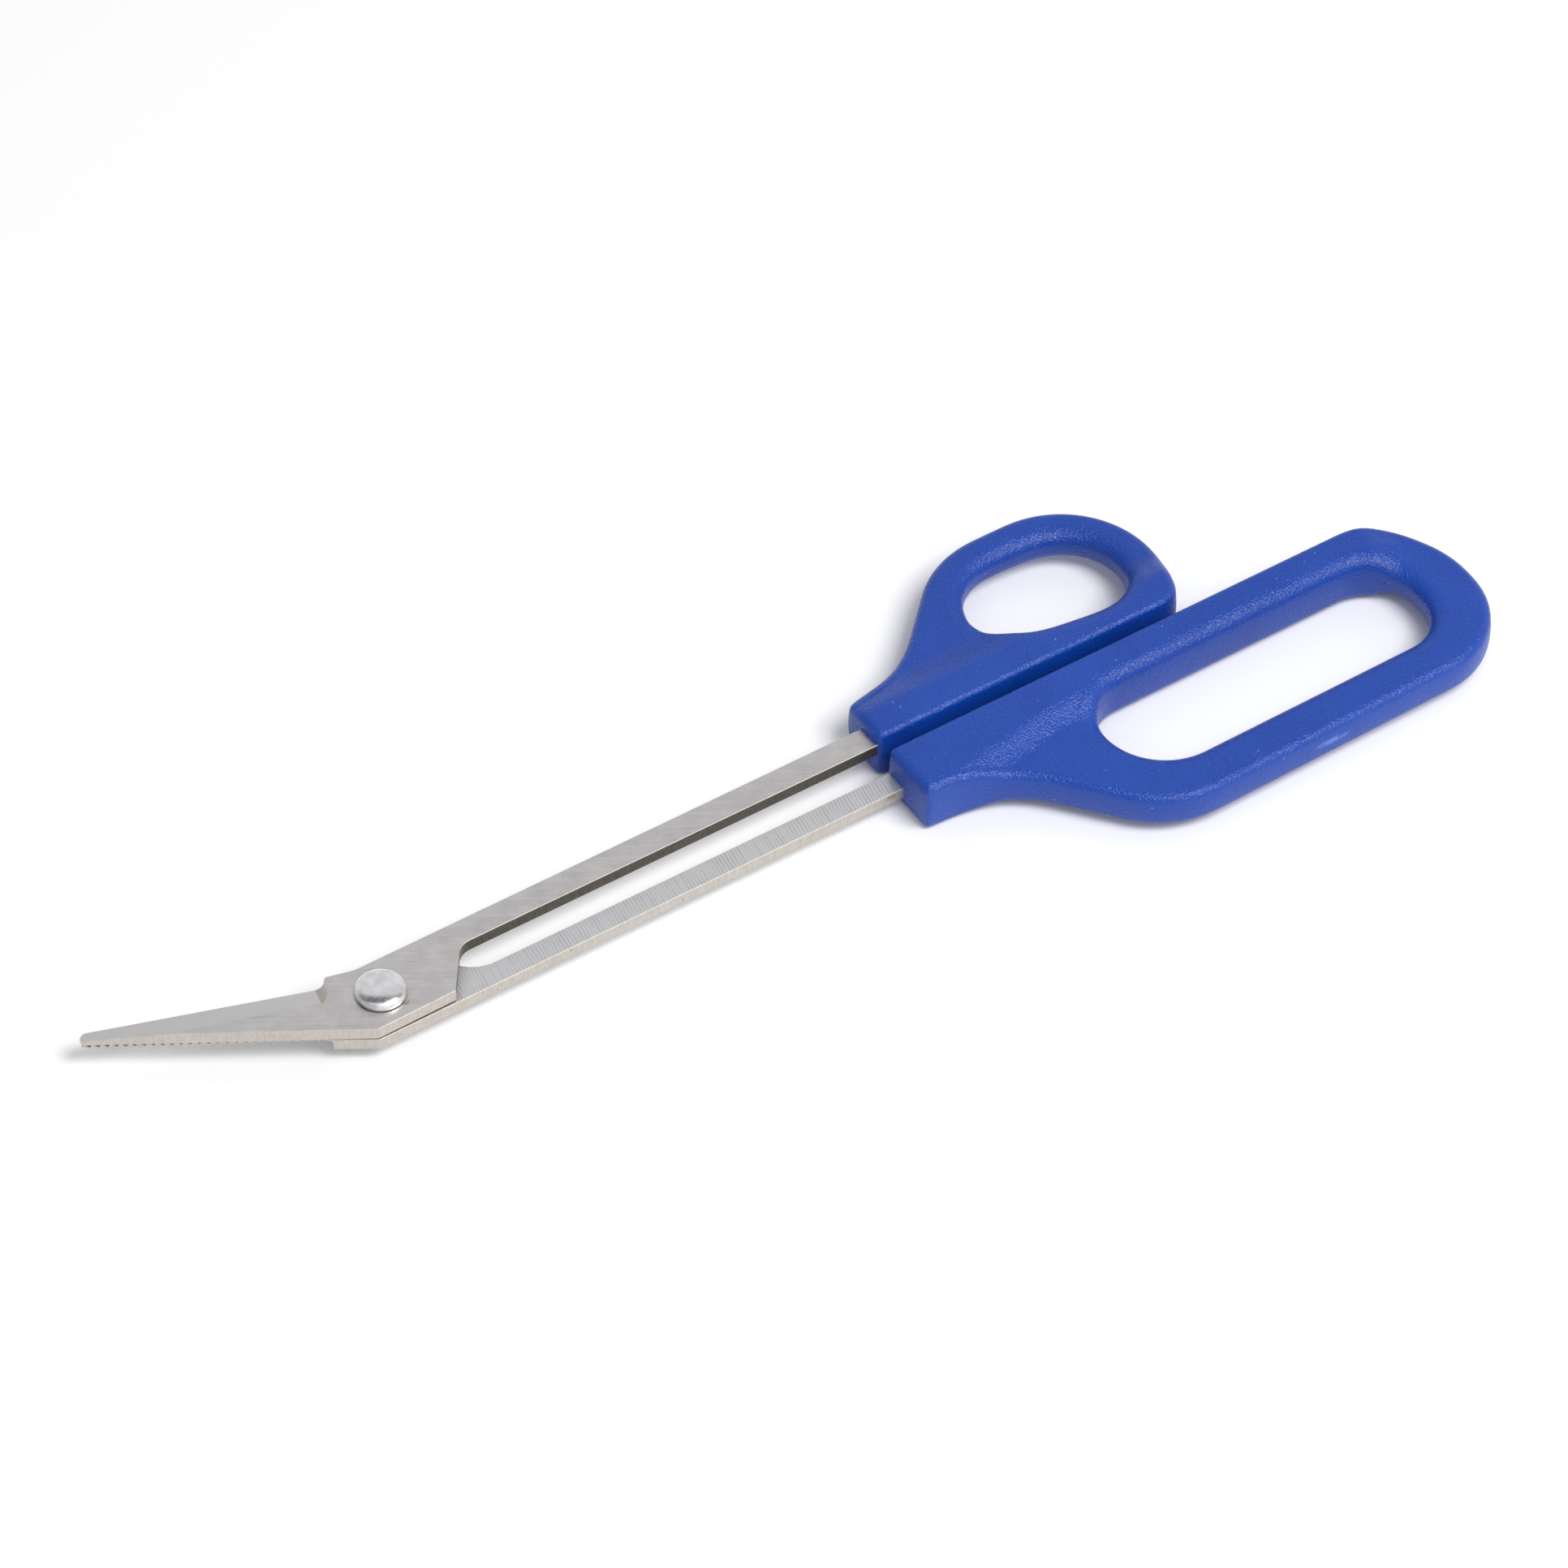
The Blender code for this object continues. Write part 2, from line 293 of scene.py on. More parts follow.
def set_ramp(ramp_node: bpy.types.Node, stops: list[tuple[float, str]]) -> bpy.types.NodeSocket:
    """Sets the stops of a colour ramp.

    Args:
        ramp_node: the colour ramp's node.
        stops: position and hex colour of each stop.

    Returns:
        The node's colour output.
    """
    ramp = ramp_node.color_ramp
    while len(ramp.elements) < len(stops):
        ramp.elements.new(0.5)
    for element, (place, code) in zip(ramp.elements, stops):
        element.position = place
        element.color = linear(code)
    return ramp_node.outputs["Color"]


@dataclass(frozen=True)
class Finish:
    """A material with a Principled shader, ready to be dressed."""

    name: str
    colour: str
    roughness: float
    metallic: float = 0.0

    def start(self) -> tuple[bpy.types.Material, bpy.types.NodeTree, bpy.types.Node]:
        """The new material, its node tree and its shader, with the plain values set."""
        made = bpy.data.materials.new(self.name)
        made.use_nodes = True
        tree = made.node_tree
        shader = tree.nodes["Principled BSDF"]
        shader.inputs["Base Color"].default_value = linear(self.colour)
        shader.inputs["Roughness"].default_value = self.roughness
        shader.inputs["Metallic"].default_value = self.metallic
        return made, tree, shader


def grain(tree: bpy.types.NodeTree, size_mm: float, detail: float = 2.0,
          stretch: tuple[float, float, float] = (1.0, 1.0, 1.0),
          turn: float = 0.0) -> bpy.types.NodeSocket:
    """Noise on object coordinates whose grain is size_mm, stretched along the turned axes.

    Args:
        tree: the node tree.
        size_mm: size of one grain in millimetres.
        detail: octaves of finer noise.
        stretch: how many times longer the grain is along each axis.
        turn: angle of the pattern about +Z, in degrees.

    Returns:
        Noise from 0 to 1.
    """
    place = add_node(tree, "TexCoord").outputs["Object"]
    turned = add_node(tree, "Mapping", {"Vector": place, "Rotation": (0, 0, -math.radians(turn))})
    scaled = add_node(tree, "Mapping", {"Vector": turned.outputs["Vector"],
                                        "Scale": tuple(1 / (size_mm * MM * k) for k in stretch)})
    noise = add_node(tree, "TexNoise", {"Vector": scaled.outputs["Vector"], "Scale": 1.0,
                                        "Detail": detail, "Roughness": 0.6})
    return noise.outputs["Fac"]


def spot_mask(tree: bpy.types.NodeTree, centre: tuple[float, float, float],
              radii_mm: tuple[float, float, float], turn: float,
              ragged: bpy.types.NodeSocket | None = None) -> bpy.types.NodeSocket:
    """A mask that is 1 at the centre of an ellipsoid and fades to 0 at its skin.

    Args:
        tree: the node tree.
        centre: the ellipsoid's centre, in object coordinates.
        radii_mm: its three radii in millimetres.
        turn: its angle about +Z, in degrees.
        ragged: noise that breaks the mask up, or None for an even one.

    Returns:
        The mask, from 0 to 1.
    """
    place = add_node(tree, "TexCoord").outputs["Object"]
    shifted = add_node(tree, "VectorMath", {0: place, 1: centre}, operation="SUBTRACT")
    turned = add_node(tree, "Mapping", {"Vector": shifted.outputs["Vector"],
                                        "Rotation": (0, 0, -math.radians(turn))})
    scaled = add_node(tree, "Mapping", {"Vector": turned.outputs["Vector"],
                                        "Scale": tuple(1 / (r * MM) for r in radii_mm)})
    ball = add_node(tree, "TexGradient", {"Vector": scaled.outputs["Vector"]},
                    gradient_type="SPHERICAL").outputs["Fac"]
    if ragged is None:
        return ball
    strong = add_node(tree, "Math", {0: ball, 1: 2.2}, operation="MULTIPLY").outputs[0]
    # the noise is cut at 0.42 and made steep, so it leaves islands with crisp borders
    rough = add_node(tree, "Math", {0: ragged, 1: 0.42}, operation="SUBTRACT").outputs[0]
    sharp = add_node(tree, "Math", {0: rough, 1: 7.0}, operation="MULTIPLY", use_clamp=True)
    return add_node(tree, "Math", {0: strong, 1: sharp.outputs[0]}, operation="MULTIPLY",
                    use_clamp=True).outputs[0]


def blended(tree: bpy.types.NodeTree, share: bpy.types.NodeSocket | float,
            first: bpy.types.NodeSocket | tuple, second: bpy.types.NodeSocket | tuple,
            blend_type: str = "MIX") -> bpy.types.NodeSocket:
    """A colour between two others.

    Args:
        tree: the node tree.
        share: 0 for the first colour, 1 for the second laid over it.
        first: the first colour, or the output that gives it.
        second: the second colour, or the output that gives it.
        blend_type: how the second is laid over the first.

    Returns:
        The mixed colour.
    """
    mix = add_node(tree, "Mix", {0: share}, data_type="RGBA", blend_type=blend_type)
    for socket, value in ((mix.inputs[6], first), (mix.inputs[7], second)):
        if isinstance(value, bpy.types.NodeSocket):
            tree.links.new(value, socket)
        else:
            socket.default_value = value
    return mix.outputs[2]


@dataclass(frozen=True)
class SparkErodedPlastic(Finish):
    """Polypropylene moulded in a spark-eroded tool: satin, with a fine orange-peel grain.

    The grain breaks every highlight into glints, pale dust sits on it, and gate scars are paler.
    """

    name: str = "spark_eroded_blue_polypropylene"
    colour: str = "#0c42a2"
    deep: str = "#073b99"           # its darker clouds
    dust: str = "#5f78c8"
    roughness: float = 0.30
    texture_mm: float = 0.32        # pitch of the eroded grain, drawn a little coarse to show
    scars: tuple[tuple, ...] = ()   # (centre, radii in mm, turn, hex colour) of each gate scar

    def build(self) -> bpy.types.Material:
        """The finished material."""
        made, tree, shader = self.start()
        shader.inputs["IOR"].default_value = 1.49
        shader.inputs["Specular IOR Level"].default_value = 0.46
        clouds = grain(tree, 14.0, 3.0)
        tone = add_node(tree, "ValToRGB", {"Fac": clouds})
        colour = set_ramp(tone, [(0.3, self.deep), (0.7, self.colour)])
        for centre, radii, turn, code in self.scars:
            scar = spot_mask(tree, centre, radii, turn, grain(tree, 1.1, 3.0, (2.5, 1, 1), turn))
            colour = blended(tree, scar, colour, linear(code))
        # a speck of dust in the middle of each cell, 3.2 mm apart
        cells = add_node(tree, "TexVoronoi", {"Vector": add_node(tree, "TexCoord").outputs["Object"],
                                              "Scale": 1 / (3.2 * MM)})
        speck = add_node(tree, "Math", {0: cells.outputs["Distance"], 1: 0.045},
                         operation="LESS_THAN").outputs[0]
        colour = blended(tree, speck, colour, linear(self.dust))
        tree.links.new(colour, shader.inputs["Base Color"])
        fine = grain(tree, self.texture_mm, 1.0)
        wide = grain(tree, 3.5, 1.0)
        low = add_node(tree, "Bump", {"Strength": 0.3, "Distance": 0.05 * MM, "Height": wide})
        bump = add_node(tree, "Bump", {"Strength": 1.0, "Distance": 0.16 * MM, "Height": fine,
                                       "Normal": low.outputs["Normal"]})
        tree.links.new(bump.outputs["Normal"], shader.inputs["Normal"])
        worn = add_node(tree, "MapRange", {"Value": grain(tree, 4.0, 4.0),
                                           "To Min": self.roughness - 0.04,
                                           "To Max": self.roughness + 0.06})
        tree.links.new(worn.outputs["Result"], shader.inputs["Roughness"])
        return made


@dataclass(frozen=True)
class GroundSteel(Finish):
    """Martensitic stainless steel ground or brushed in one direction.

    Long fine scratches lie along `lines`, so the grey is streaked and the reflections are drawn out
    across them.
    """

    name: str = "brushed_stainless_steel"
    colour: str = "#cfcdca"
    roughness: float = 0.42
    metallic: float = 1.0
    lines: float = 0.0              # direction of the scratches about +Z, in degrees
    scratch_mm: float = 0.16        # width of a scratch; finer ones would not show
    length_times: float = 22.0      # length of a scratch, in scratch widths
    depth_mm: float = 0.006
    contrast: float = 0.12          # how much darker the deepest streak is
    bands_mm: float = 0.0           # pitch of coarse grinding marks across the lines, 0 for none
    # each entry is a stain, or a patch of painted shade
    stains_and_shade: tuple[tuple, ...] = ()  # (centre, radii in mm, turn, hex colour)

    def build(self) -> bpy.types.Material:
        """The finished material."""
        made, tree, shader = self.start()
        long = (self.length_times, 1.0, 1.0)
        scratch = grain(tree, self.scratch_mm, 2.0, long, self.lines)
        streak = grain(tree, self.scratch_mm * 5, 3.0, long, self.lines)
        cloud = grain(tree, 3.0, 3.0)
        mixed = add_node(tree, "Math", {0: scratch, 1: streak}, operation="ADD").outputs[0]
        mixed = add_node(tree, "Math", {0: mixed, 1: cloud}, operation="ADD").outputs[0]
        height = scratch
        if self.bands_mm:
            place = add_node(tree, "TexCoord").outputs["Object"]
            turned = add_node(tree, "Mapping", {"Vector": place,
                                                "Rotation": (0, 0, -math.radians(self.lines))})
            wave = add_node(tree, "TexWave", {"Vector": turned.outputs["Vector"],
                                              "Scale": WAVE_PERIOD / (self.bands_mm * MM),
                                              "Distortion": 2.2, "Detail": 2.0,
                                              "Detail Scale": 0.4}, bands_direction="Y")
            height = add_node(tree, "Math", {0: scratch, 1: wave.outputs["Fac"]},
                              operation="ADD").outputs[0]
            mixed = add_node(tree, "Math", {0: wave.outputs["Fac"], 1: 0.8, 2: mixed},
                             operation="MULTIPLY_ADD").outputs[0]
        tone = add_node(tree, "MapRange", {"Value": mixed, "From Min": 1.1, "From Max": 1.9,
                                           "To Min": 1.0 - self.contrast, "To Max": 1.0})
        shade = add_node(tree, "CombineColor", {index: tone.outputs["Result"] for index in range(3)})
        colour = blended(tree, 1.0, linear(self.colour), shade.outputs["Color"], "MULTIPLY")
        # each entry is a stain, or a patch of painted shade such as the one beside the rivet head
        for centre, radii, turn, code in self.stains_and_shade:
            spot = spot_mask(tree, centre, radii, turn, grain(tree, 0.5, 4.0))
            colour = blended(tree, spot, colour, linear(code))
        tree.links.new(colour, shader.inputs["Base Color"])
        bump = add_node(tree, "Bump", {"Strength": 0.6, "Distance": self.depth_mm * MM,
                                       "Height": height})
        tree.links.new(bump.outputs["Normal"], shader.inputs["Normal"])
        rough = add_node(tree, "MapRange", {"Value": streak, "From Min": 0.3, "From Max": 0.7,
                                            "To Min": self.roughness - 0.05,
                                            "To Max": self.roughness + 0.06})
        tree.links.new(rough.outputs["Result"], shader.inputs["Roughness"])
        return made


@dataclass(frozen=True)
class BlankedEdge(Finish):
    """The edge of stainless sheet as the press tool leaves it: matt, warm grey and slightly torn."""

    name: str = "blanked_steel_edge"
    colour: str = "#cdc7c0"
    light: str = "#d4cfc8"          # the two ends of its streaks
    dark: str = "#c3bcb3"
    pit: str = "#a39b8c"
    roughness: float = 0.55
    metallic: float = 1.0
    stains_and_shade: tuple[tuple, ...] = ()  # (centre, radii in mm, turn, hex colour)

    def build(self) -> bpy.types.Material:
        """The finished material."""
        made, tree, shader = self.start()
        torn = grain(tree, 0.35, 3.0, (1.0, 1.0, 4.0))
        tone = add_node(tree, "ValToRGB", {"Fac": torn})
        colour = set_ramp(tone, [(0.30, self.dark), (0.55, self.colour), (0.8, self.light)])
        # a torn pit in the middle of each cell, 2.6 mm apart
        cells = add_node(tree, "TexVoronoi", {"Vector": add_node(tree, "TexCoord").outputs["Object"],
                                              "Scale": 1 / (2.6 * MM)})
        pitted = add_node(tree, "Math", {0: cells.outputs["Distance"], 1: 0.06},
                          operation="LESS_THAN").outputs[0]
        colour = blended(tree, pitted, colour, linear(self.pit))
        for centre, radii, turn, code in self.stains_and_shade:
            spot = spot_mask(tree, centre, radii, turn, grain(tree, 0.5, 4.0))
            colour = blended(tree, spot, colour, linear(code))
        tree.links.new(colour, shader.inputs["Base Color"])
        bump = add_node(tree, "Bump", {"Strength": 0.7, "Distance": 0.03 * MM, "Height": torn})
        tree.links.new(bump.outputs["Normal"], shader.inputs["Normal"])
        return made


@dataclass(frozen=True)
class PolishedRivetSteel(Finish):
    """A cold-headed rivet, tumbled bright and dented a little where it was set.

    Shallow dents bend its reflections, and smears make it duller in patches.
    """

    name: str = "polished_rivet_steel"
    colour: str = "#f6f5f6"
    smeared: str = "#e0ddde"
    roughness: float = 0.16
    metallic: float = 1.0

    def build(self) -> bpy.types.Material:
        """The finished material."""
        made, tree, shader = self.start()
        smear = grain(tree, 1.6, 4.0)
        tone = add_node(tree, "ValToRGB", {"Fac": smear})
        colour = set_ramp(tone, [(0.35, self.smeared), (0.65, self.colour)])
        tree.links.new(colour, shader.inputs["Base Color"])
        rough = add_node(tree, "MapRange", {"Value": smear, "From Min": 0.3, "From Max": 0.7,
                                            "To Min": self.roughness - 0.04,
                                            "To Max": self.roughness + 0.14})
        tree.links.new(rough.outputs["Result"], shader.inputs["Roughness"])
        dents = grain(tree, 0.9, 3.0)
        nicks = grain(tree, 0.25, 2.0, (4.0, 1.0, 1.0), 30.0)
        low = add_node(tree, "Bump", {"Strength": 0.35, "Distance": 0.05 * MM, "Height": dents})
        bump = add_node(tree, "Bump", {"Strength": 0.25, "Distance": 0.01 * MM, "Height": nicks,
                                       "Normal": low.outputs["Normal"]})
        tree.links.new(bump.outputs["Normal"], shader.inputs["Normal"])
        return made


# ---------------------------------------------------------------------------------------------
# Handles
# ---------------------------------------------------------------------------------------------

@dataclass
class Handle:
    """A moulded handle: a thick rib along the gap that slopes down to a thinner loop.

    Its surface is a grid. One parameter runs round the rim. The other runs round the section: up
    the rim wall, over the rounded edge, across to the hole, down its wall and back underneath.
    """

    drawing: Drawing
    name: str
    node: str
    body: Body
    finish: bpy.types.Material
    rim: list[Corner]
    hole: list[Corner]
    spine: tuple[Point, Point]      # centre line of the hole, which pairs rim points to hole points
    wall: float                     # gap wall
    side: int                       # +1 for the handle on +Y of its gap wall
    thin: float                     # thickness of the loop's outer part
    front: float                    # x of the front face
    thick: float                    # thickness of the rib
    rib: float = 4.5                # width of the full-thickness rib
    rib_front: float = 8.2          # the same at the front face
    rib_taper: float = 30.0         # length over which that narrows to the first
    slope: float = 6.0              # width of the fall from the rib to the loop
    rib_end: float = 400.0          # x where the rib runs out, past the handle if it never does
    end_slope: float = 9.0          # length over which it runs out
    rim_round: tuple[float, float] = (1.35, 1.2)    # width and height of the rounded edges
    hole_round: tuple[float, float] = (2.5, 1.9)
    gap_round: float = 0.65         # how much tighter the rounding is along the gap wall
    gap_reach: float = 2.0          # how far from the gap wall that holds
    rim_soften: float = 0.45        # easing of the outlines' changes of curvature
    hole_soften: float = 0.5
    bulge: float = 0.3              # how far the walls swell at the parting line
    stadium: float = 10.0           # radius of the stadium that pairs rim and hole; any will do
    stations: int = 620             # points round the rim
    hole_points: int = 1400
    across: int = 22                # rows from the rim's rounding to the hole's
    arc: int = 7                    # rows on each rounding
    wall_rows: int = 7              # rows on each wall

    def half_height(self, place: Array) -> Array:
        """Half thickness at a plan point.

        It is full over the rib and falls along a smooth step towards the loop, with distance from
        the gap wall. The rib may be wider at the front, and may run out near the far end.

        Args:
            place: plan points, in an array of any shape that ends in x and y.

        Returns:
            Half the thickness at each point.
        """
        away = (place[..., 1] - self.wall) * self.side
        widen = 1.0 - smooth_step((place[..., 0] - self.front) / self.rib_taper)
        start = self.rib + (self.rib_front - self.rib) * widen
        fall = smooth_step((away - start) / self.slope)
        end = smooth_step((place[..., 0] - self.rib_end) / self.end_slope)
        fall = 1.0 - (1.0 - fall) * (1.0 - end)
        return self.thick / 2 + (self.thin - self.thick) / 2 * fall

    def unrolled(self, place: Array) -> Array:
        """Position along a stadium round the spine, which grows as a point goes round the loop.

        A point's nearest spine point and its direction from there give the stadium's arc length,
        counted from the far end and positive on the left of the spine.

        Args:
            place: plan points, one row each.

        Returns:
            The arc length of each point.
        """
        first, last = (np.array(point) for point in self.spine)
        axis = last - first
        length = float(np.linalg.norm(axis))
        axis = axis / length
        cross = np.array([-axis[1], axis[0]])
        local = place - first
        run, off = local @ axis, local @ cross
        near = np.clip(run, 0.0, length)
        angle = np.arctan2(off, run - near)     # -90..90 degrees past the far end
        ahead = angle * self.stadium
        quarter = math.pi / 2
        upper = quarter * self.stadium + (length - near)
        lower = -quarter * self.stadium - (length - near)
        left = quarter * self.stadium + length + (angle - quarter) * self.stadium
        right = -quarter * self.stadium - length + (angle + quarter) * self.stadium
        behind = np.where(off >= 0, left, right)
        beside = np.where(off >= 0, upper, lower)
        return np.where(run > length, ahead, np.where(run < 0, behind, beside))

    def matched_hole(self, rim: Array) -> tuple[Array, Array]:
        """For each rim point, the hole point that lies on the same ray from the spine.

        Args:
            rim: rim points, one row each.

        Returns:
            The hole points, and their unit normals into the material.
        """
        hole = resampled(arc_outline(self.hole), self.hole_points, self.hole_soften)
        if signed_area(hole) < 0:
            hole = hole[::-1]
        table = np.concatenate([hole, outward_normals(hole)], 1)
        key = self.unrolled(hole)
        order = np.argsort(key)
        spine_length = float(np.linalg.norm(np.subtract(*self.spine)))
        period = 2 * (math.pi * self.stadium + spine_length)
        keys = np.concatenate([key[order] - period, key[order], key[order] + period])
        spots = np.concatenate([table[order]] * 3)
        wanted = self.unrolled(rim)
        found = np.stack([np.interp(wanted, keys, column) for column in spots.T], 1)
        normals = found[:, 2:] / np.linalg.norm(found[:, 2:], axis=1)[:, None]
        return found[:, :2], normals

    def edge(self, loop: Array, inward: Array, rounding: tuple[float, float],
             scale: Array | float = 1.0) -> tuple[Array, Array, Array]:
        """One wall and its rounded top edge, from the parting line up.

        The wall leans in by bulge * t^2, where t runs from the parting line to the top. The edge is
        a quarter ellipse with the two radii of rounding.

        Args:
            loop: wall line at the parting line.
            inward: unit normals into the material.
            rounding: width and height of the quarter ellipse.
            scale: what the rounding is multiplied by at each station.

        Returns:
            Plan points as (stations, rows, 2), their heights over the parting line as
            (stations, rows), and the plan points where the flat top begins.
        """
        wide, deep = (size * np.broadcast_to(scale, len(loop))[:, None] for size in rounding)
        top = self.half_height(loop + inward * (wide + self.bulge))[:, None]
        rows = np.linspace(0.0, 1.0, self.wall_rows)[None, :-1]
        wall_height = rows * (top - deep)
        lean = self.bulge * (wall_height / top) ** 2
        angle = np.linspace(0.0, math.pi / 2, self.arc)[None]
        arc_height = top - deep + deep * np.sin(angle)
        arc_lean = self.bulge * ((top - deep) / top) ** 2 + wide * (1 - np.cos(angle))
        depth = np.concatenate([lean, arc_lean], 1)
        height = np.concatenate([wall_height, arc_height], 1)
        plan = loop[:, None] + inward[:, None] * depth[..., None]
        return plan, height, plan[:, -1]

    def surface(self) -> Surface:
        """The whole handle as one closed grid."""
        rim = resampled(arc_outline(self.rim), self.stations, self.rim_soften)
        if signed_area(rim) < 0:
            rim = rim[::-1]
        hole, hole_normals = self.matched_hole(rim)
        near_gap = smooth_step(1.0 - np.abs(rim[:, 1] - self.wall) / self.gap_reach)
        rim_plan, rim_height, rim_top = self.edge(rim, -outward_normals(rim), self.rim_round,
                                                  1.0 - (1.0 - self.gap_round) * near_gap)
        hole_plan, hole_height, hole_top = self.edge(hole, hole_normals, self.hole_round)
        share = np.linspace(0.0, 1.0, self.across + 2)[None, 1:-1, None]
        flat = rim_top[:, None] + (hole_top - rim_top)[:, None] * share
        flat_height = self.half_height(flat)
        plan = np.concatenate([rim_plan, flat, hole_plan[:, ::-1]], 1)
        height = np.concatenate([rim_height, flat_height, hole_height[:, ::-1]], 1)
        # the underside mirrors the top, without the two parting-line rows
        plan = np.concatenate([plan, plan[:, -2:0:-1]], 1)
        height = np.concatenate([height, -height[:, -2:0:-1]], 1)
        points = np.concatenate([plan, (self.thick / 2 + height)[..., None]], -1)
        quads = ring_faces(len(rim), plan.shape[1], closed_rows=True)
        return Surface(self.name, self.drawing.to_frame(points), quads,
                       np.zeros(len(quads), int))

    def build(self) -> bpy.types.Object:
        """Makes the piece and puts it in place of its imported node."""
        item = self.surface().build([self.finish], crease=60.0)
        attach(item, self.body.value)
        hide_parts(self.node)
        return item


def signed_area(loop: Array) -> float:
    """Shoelace area of a closed loop, positive when it runs counter-clockwise."""
    ahead = np.roll(loop, -1, 0)
    return float(np.sum(loop[:, 0] * ahead[:, 1] - ahead[:, 0] * loop[:, 1]) / 2)


# ---------------------------------------------------------------------------------------------
# Blades
# ---------------------------------------------------------------------------------------------

@dataclass(frozen=True)
class Bevel:
    """A ground bevel: the blade thins from its ridge line to its cutting edge.

    depth = deepest * v / w, where v is the distance past the ridge and w the width of the bevel
    there. Where the grinding wheel ran out, a quarter circle rises back to the flat.
    """

    ridge: tuple[Point, Point]
    edge: tuple[Point, Point]
    deepest: float
    runout: float                   # radius of the wheel's run-out
    start: float                    # where the run-out begins, along the ridge line

    def axes(self) -> tuple[Array, Array]:
        """Unit vectors along the ridge and from the ridge towards the edge."""
        first, last = np.array(self.ridge[0]), np.array(self.ridge[1])
        along = (last - first) / np.linalg.norm(last - first)
        across = np.array([-along[1], along[0]])
        if (np.array(self.edge[1]) - first) @ across < 0:
            across = -across
        return along, across

    def depth(self, place: Array) -> Array:
        """Metal taken away by the bevel.

        Args:
            place: plan points, in an array of any shape that ends in x and y.

        Returns:
            The depth at each point, in millimetres.
        """
        along, across = self.axes()
        local = place - np.array(self.ridge[0])
        run, past = local @ along, local @ across
        near = np.array(self.edge[0]) - np.array(self.ridge[0])
        far = np.array(self.edge[1]) - np.array(self.ridge[0])
        width = np.interp(run, [near @ along, far @ along], [near @ across, far @ across])
        # a point of the blade's side line may lie a little past the straight edge
        plane = self.deepest * np.clip(past / width, 0.0, 1.03)
        left = np.clip(run - self.start, 0.0, self.runout)
        rise = self.runout - np.sqrt(np.maximum(self.runout ** 2 - (self.runout - left) ** 2, 0))
        cut = np.maximum(plane - rise, 0.0)
        return np.where(run > self.start, cut, 0.0)

    def in_runout(self, place: Array) -> Array:
        """Whether plan points lie on the steep part of the wheel's run-out."""
        along, _ = self.axes()
        return (place - np.array(self.ridge[0])) @ along < self.start + 0.85 * self.runout

    def ridge_share(self, first: Array, last: Array) -> Array:
        """Where the ridge line crosses each segment across the blade.

        Args:
            first: first point of each segment.
            last: last point of each segment.

        Returns:
            The crossing as a share of each segment's length.
        """
        _, across = self.axes()
        start = (first - np.array(self.ridge[0])) @ across
        end = (last - np.array(self.ridge[0])) @ across
        gap = np.where(np.abs(start - end) < 1e-6, 1e-6, start - end)
        return start / gap


class Cut(Enum):
    """Which face of the blade its bevel is ground into."""

    TOP = "top"
    UNDERSIDE = "underside"


